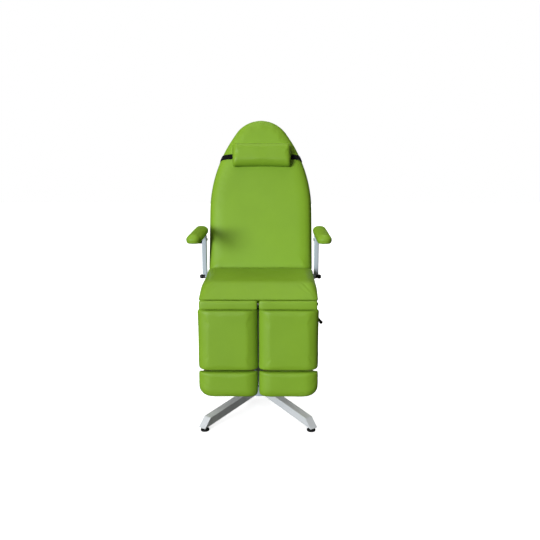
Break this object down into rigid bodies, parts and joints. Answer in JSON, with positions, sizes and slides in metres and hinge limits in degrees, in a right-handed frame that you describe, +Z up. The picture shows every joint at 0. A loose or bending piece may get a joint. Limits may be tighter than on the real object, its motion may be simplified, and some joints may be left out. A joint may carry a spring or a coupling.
{
  "type": "podiatry chair",
  "caption": "Podiatry treatment chair on a four-leg pedestal with reclining back, split leg rests with sliding foot pads, swing-back armrests and head pillow.",
  "frame": {"origin": "middle of the chair's outline on the floor", "axes": "the sitter faces -Y, +X is to the right in a front view, +Z is up"},
  "size_m": [0.762, 1.0056, 1.5517],
  "materials": {
    "base_paint": "satin silver paint",
    "leg_paint": "satin light grey paint",
    "rubber_foot": "matt black",
    "frame_paint": "satin grey paint",
    "silver_paint": "satin silver paint",
    "plywood": "bare birch ply",
    "vinyl": "smooth coated upholstery, lime green",
    "steel": "bright zinc",
    "bush_brass": "plain bearing bronze",
    "black_metal": "gloss black",
    "black_plastic": "fine textured black",
    "elastic": "woven black elastic"
  },
  "bodies": {
    "chassis": {"base_hub": "base_paint", "column": "base_paint", "front_legs": "leg_paint", "rear_legs": "leg_paint", "seat_carrier": "frame_paint", "seat_frame": "frame_paint", "seat_board": "plywood", "seat_cushion": "vinyl", "seat_bolts": "black_metal", "hinge_shaft": "steel", "knee_shaft": "steel", "hinge_bushes": "bush_brass", "back_spring_body": "black_metal", "leg_spring_body_left": "black_metal", "leg_spring_body_right": "black_metal"},
    "levelling_foot_front_left": {"levelling_foot_front_left": "rubber_foot"},
    "levelling_foot_front_right": {"levelling_foot_front_right": "rubber_foot"},
    "levelling_foot_rear_left": {"levelling_foot_rear_left": "rubber_foot"},
    "levelling_foot_rear_right": {"levelling_foot_rear_right": "rubber_foot"},
    "backrest": {"back_frame": "silver_paint", "back_board": "plywood", "back_cushion": "vinyl", "back_screws": "black_metal"},
    "back_spring_rod": {"back_spring_rod": "steel"},
    "back_release_lever": {"back_release_lever": "black_plastic"},
    "head_pillow": {"head_pillow": "vinyl", "pillow_strap": "elastic"},
    "leg_rest_left": {"leg_frame_left": "silver_paint", "calf_board_left": "plywood", "knee_cushion_left": "vinyl", "calf_cushion_left": "vinyl"},
    "leg_spring_rod_left": {"leg_spring_rod_left": "steel"},
    "foot_rest_left": {"foot_slide_left": "silver_paint", "foot_board_left": "plywood", "foot_cushion_left": "vinyl"},
    "foot_clamp_left": {"foot_clamp_left": "black_plastic"},
    "leg_rest_right": {"leg_frame_right": "silver_paint", "calf_board_right": "plywood", "knee_cushion_right": "vinyl", "calf_cushion_right": "vinyl"},
    "leg_spring_rod_right": {"leg_spring_rod_right": "steel"},
    "foot_rest_right": {"foot_slide_right": "silver_paint", "foot_board_right": "plywood", "foot_cushion_right": "vinyl"},
    "foot_clamp_right": {"foot_clamp_right": "black_plastic"},
    "armrest_left": {"arm_post_left": "silver_paint", "arm_bolt_left": "steel"},
    "arm_clamp_left": {"arm_clamp_left": "black_plastic"},
    "arm_pad_left": {"arm_carrier_left": "black_plastic", "arm_board_left": "black_plastic", "arm_cushion_left": "vinyl"},
    "armrest_right": {"arm_post_right": "silver_paint", "arm_bolt_right": "steel"},
    "arm_clamp_right": {"arm_clamp_right": "black_plastic"},
    "arm_pad_right": {"arm_carrier_right": "black_plastic", "arm_board_right": "black_plastic", "arm_cushion_right": "vinyl"},
    "ball_lever": {"ball_lever": "black_plastic"},
    "grip_lever": {"grip_lever": "black_plastic"}
  },
  "joints": [
    {"name": "levelling_foot_front_left_turn", "type": "hinge", "parent": "chassis", "child": "levelling_foot_front_left", "pos_m": [-0.266, -0.47106, 0.02], "axis": [0, 0, 1], "continuous": true},
    {"name": "levelling_foot_front_right_turn", "type": "hinge", "parent": "chassis", "child": "levelling_foot_front_right", "pos_m": [0.266, -0.47106, 0.02], "axis": [0, 0, 1], "continuous": true},
    {"name": "levelling_foot_rear_left_turn", "type": "hinge", "parent": "chassis", "child": "levelling_foot_rear_left", "pos_m": [-0.266, 0.28494, 0.02], "axis": [0, 0, 1], "continuous": true},
    {"name": "levelling_foot_rear_right_turn", "type": "hinge", "parent": "chassis", "child": "levelling_foot_rear_right", "pos_m": [0.266, 0.28494, 0.02], "axis": [0, 0, 1], "continuous": true},
    {"name": "backrest_recline", "type": "hinge", "parent": "chassis", "child": "backrest", "pos_m": [0, 0.16494, 0.655], "axis": [-1, 0, 0], "range_deg": [0, 65]},
    {"name": "back_spring_slide", "type": "slide", "parent": "chassis", "child": "back_spring_rod", "axis": [0, -1, 0], "range_m": [0, 0.08647]},
    {"name": "back_release_lift", "type": "hinge", "parent": "backrest", "child": "back_release_lever", "pos_m": [0, 0.27363, 0.73472], "axis": [1, 0, 0], "range_deg": [0, 12], "stiffness_Nm_per_rad": 3, "springref_deg": -5.73},
    {"name": "pillow_slide", "type": "slide", "parent": "backrest", "child": "head_pillow", "axis": [0, 0.3256, 0.9455], "range_m": [0, 0.05]},
    {"name": "leg_rest_left_raise", "type": "hinge", "parent": "chassis", "child": "leg_rest_left", "pos_m": [-0.15, -0.36506, 0.624], "axis": [-1, 0, 0], "range_deg": [0, 75]},
    {"name": "leg_spring_slide_left", "type": "slide", "parent": "chassis", "child": "leg_spring_rod_left", "axis": [0, -1, 0], "range_m": [0, 0.06746]},
    {"name": "foot_extend_left", "type": "slide", "parent": "leg_rest_left", "child": "foot_rest_left", "axis": [0, 0, -1], "range_m": [0, 0.06]},
    {"name": "foot_clamp_turn_left", "type": "hinge", "parent": "leg_rest_left", "child": "foot_clamp_left", "pos_m": [-0.24, -0.30556, 0.314], "axis": [0, 1, 0], "continuous": true},
    {"name": "leg_rest_right_raise", "type": "hinge", "parent": "chassis", "child": "leg_rest_right", "pos_m": [0.15, -0.36506, 0.624], "axis": [-1, 0, 0], "range_deg": [0, 75]},
    {"name": "leg_spring_slide_right", "type": "slide", "parent": "chassis", "child": "leg_spring_rod_right", "axis": [0, -1, 0], "range_m": [0, 0.06746]},
    {"name": "foot_extend_right", "type": "slide", "parent": "leg_rest_right", "child": "foot_rest_right", "axis": [0, 0, -1], "range_m": [0, 0.06]},
    {"name": "foot_clamp_turn_right", "type": "hinge", "parent": "leg_rest_right", "child": "foot_clamp_right", "pos_m": [0.24, -0.30556, 0.314], "axis": [0, 1, 0], "continuous": true},
    {"name": "armrest_swing_left", "type": "hinge", "parent": "chassis", "child": "armrest_left", "pos_m": [-0.31, 0.16494, 0.655], "axis": [-1, 0, 0], "range_deg": [0, 75]},
    {"name": "arm_clamp_turn_left", "type": "hinge", "parent": "chassis", "child": "arm_clamp_left", "pos_m": [-0.335, 0.16494, 0.655], "axis": [1, 0, 0], "continuous": true},
    {"name": "arm_pad_tilt_left", "type": "hinge", "parent": "armrest_left", "child": "arm_pad_left", "pos_m": [-0.345, 0.16494, 0.872], "axis": [1, 0, 0], "range_deg": [0, 60]},
    {"name": "armrest_swing_right", "type": "hinge", "parent": "chassis", "child": "armrest_right", "pos_m": [0.31, 0.16494, 0.655], "axis": [-1, 0, 0], "range_deg": [0, 75]},
    {"name": "arm_clamp_turn_right", "type": "hinge", "parent": "chassis", "child": "arm_clamp_right", "pos_m": [0.335, 0.16494, 0.655], "axis": [1, 0, 0], "continuous": true},
    {"name": "arm_pad_tilt_right", "type": "hinge", "parent": "armrest_right", "child": "arm_pad_right", "pos_m": [0.345, 0.16494, 0.872], "axis": [1, 0, 0], "range_deg": [0, 60]},
    {"name": "ball_lever_pull", "type": "hinge", "parent": "chassis", "child": "ball_lever", "pos_m": [0.2, -0.29306, 0.581], "axis": [0, 0, 1], "range_deg": [0, 15], "stiffness_Nm_per_rad": 2, "springref_deg": -5.73},
    {"name": "grip_lever_lift", "type": "hinge", "parent": "chassis", "child": "grip_lever", "pos_m": [0.247, -0.19306, 0.579], "axis": [0, -1, 0], "range_deg": [0, 12], "stiffness_Nm_per_rad": 3, "springref_deg": -5.73}
  ],
  "couplings": [
    {"joint": "back_spring_slide", "follows": "backrest_recline", "m_per_rad": 0.075778},
    {"joint": "leg_spring_slide_left", "follows": "leg_rest_left_raise", "m_per_rad": 0.051157},
    {"joint": "leg_spring_slide_right", "follows": "leg_rest_right_raise", "m_per_rad": 0.051157}
  ]
}
